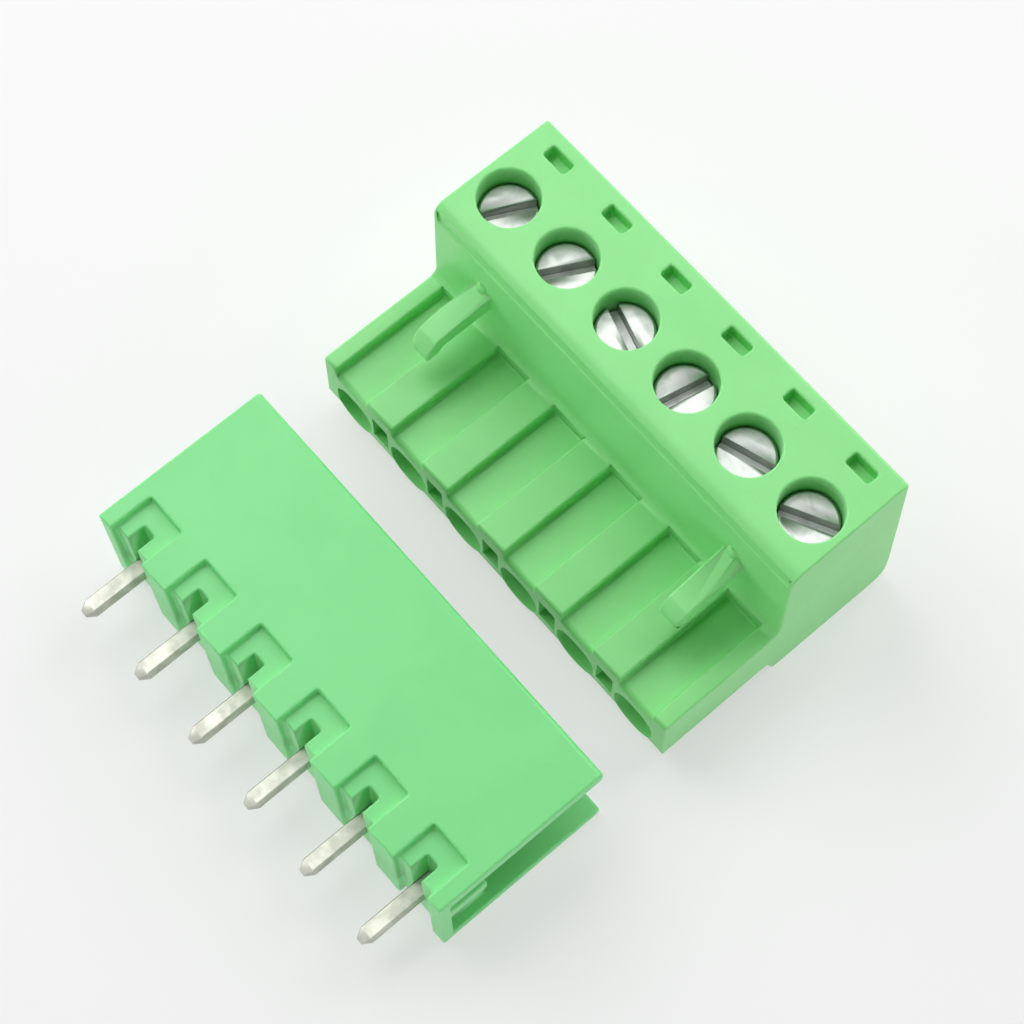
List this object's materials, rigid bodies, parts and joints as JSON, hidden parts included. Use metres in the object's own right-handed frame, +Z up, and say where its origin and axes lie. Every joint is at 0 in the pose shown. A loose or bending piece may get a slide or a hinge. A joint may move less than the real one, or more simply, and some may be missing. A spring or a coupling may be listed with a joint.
{
  "type": "pluggable terminal block",
  "caption": "Two-part board connector: a screw-clamp plug with latch arms, unplugged in front of the open-ended pin header that it pushes onto.",
  "frame": {"origin": "on the floor under the middle of the unplugged pair", "axes": "+X along the row of poles, +Y from the header's solder pins to the plug's wire side, +Z up along the clamp screws"},
  "size_m": [0.0308, 0.0386, 0.015],
  "materials": {
    "header_green": "satin moulded polyamide",
    "plug_green": "satin moulded polyamide",
    "tinned_pin": "bright tin plate",
    "tinned_contact": "tin plate",
    "clamp_steel": "zinc plate",
    "screw_steel": "bright zinc plate"
  },
  "bodies": {
    "header": {"header_housing": "header_green", "header_pin_1": "tinned_pin", "header_pin_2": "tinned_pin", "header_pin_3": "tinned_pin", "header_pin_4": "tinned_pin", "header_pin_5": "tinned_pin", "header_pin_6": "tinned_pin"},
    "plug": {"plug_housing": "plug_green", "spring_contact_1": "tinned_contact", "spring_contact_2": "tinned_contact", "spring_contact_3": "tinned_contact", "spring_contact_4": "tinned_contact", "spring_contact_5": "tinned_contact", "spring_contact_6": "tinned_contact"},
    "screw_1": {"clamp_screw_1": "screw_steel"},
    "clamp_1": {"wire_clamp_1": "clamp_steel"},
    "screw_2": {"clamp_screw_2": "screw_steel"},
    "clamp_2": {"wire_clamp_2": "clamp_steel"},
    "screw_3": {"clamp_screw_3": "screw_steel"},
    "clamp_3": {"wire_clamp_3": "clamp_steel"},
    "screw_4": {"clamp_screw_4": "screw_steel"},
    "clamp_4": {"wire_clamp_4": "clamp_steel"},
    "screw_5": {"clamp_screw_5": "screw_steel"},
    "clamp_5": {"wire_clamp_5": "clamp_steel"},
    "screw_6": {"clamp_screw_6": "screw_steel"},
    "clamp_6": {"wire_clamp_6": "clamp_steel"}
  },
  "joints": [
    {"name": "plug_insertion", "type": "slide", "parent": "header", "child": "plug", "axis": [0, -1, 0], "range_m": [0, 0.01295]},
    {"name": "screw_1_turn", "type": "hinge", "parent": "plug", "child": "screw_1", "pos_m": [-0.0127, 0.01357, 0.0123], "axis": [0, 0, -1], "range_deg": [0, 1620]},
    {"name": "clamp_1_rise", "type": "slide", "parent": "plug", "child": "clamp_1", "axis": [0, 0, 1], "range_m": [0, 0.00225]},
    {"name": "screw_2_turn", "type": "hinge", "parent": "plug", "child": "screw_2", "pos_m": [-0.00762, 0.01357, 0.0123], "axis": [0, 0, -1], "range_deg": [0, 1620]},
    {"name": "clamp_2_rise", "type": "slide", "parent": "plug", "child": "clamp_2", "axis": [0, 0, 1], "range_m": [0, 0.00225]},
    {"name": "screw_3_turn", "type": "hinge", "parent": "plug", "child": "screw_3", "pos_m": [-0.00254, 0.01357, 0.0123], "axis": [0, 0, -1], "range_deg": [0, 1620]},
    {"name": "clamp_3_rise", "type": "slide", "parent": "plug", "child": "clamp_3", "axis": [0, 0, 1], "range_m": [0, 0.00225]},
    {"name": "screw_4_turn", "type": "hinge", "parent": "plug", "child": "screw_4", "pos_m": [0.00254, 0.01357, 0.0123], "axis": [0, 0, -1], "range_deg": [0, 1620]},
    {"name": "clamp_4_rise", "type": "slide", "parent": "plug", "child": "clamp_4", "axis": [0, 0, 1], "range_m": [0, 0.00225]},
    {"name": "screw_5_turn", "type": "hinge", "parent": "plug", "child": "screw_5", "pos_m": [0.00762, 0.01357, 0.0123], "axis": [0, 0, -1], "range_deg": [0, 1620]},
    {"name": "clamp_5_rise", "type": "slide", "parent": "plug", "child": "clamp_5", "axis": [0, 0, 1], "range_m": [0, 0.00225]},
    {"name": "screw_6_turn", "type": "hinge", "parent": "plug", "child": "screw_6", "pos_m": [0.0127, 0.01357, 0.0123], "axis": [0, 0, -1], "range_deg": [0, 1620]},
    {"name": "clamp_6_rise", "type": "slide", "parent": "plug", "child": "clamp_6", "axis": [0, 0, 1], "range_m": [0, 0.00225]}
  ],
  "couplings": [
    {"joint": "screw_1_turn", "follows": "clamp_1_rise", "rad_per_m": 12566},
    {"joint": "screw_2_turn", "follows": "clamp_2_rise", "rad_per_m": 12566},
    {"joint": "screw_3_turn", "follows": "clamp_3_rise", "rad_per_m": 12566},
    {"joint": "screw_4_turn", "follows": "clamp_4_rise", "rad_per_m": 12566},
    {"joint": "screw_5_turn", "follows": "clamp_5_rise", "rad_per_m": 12566},
    {"joint": "screw_6_turn", "follows": "clamp_6_rise", "rad_per_m": 12566}
  ]
}
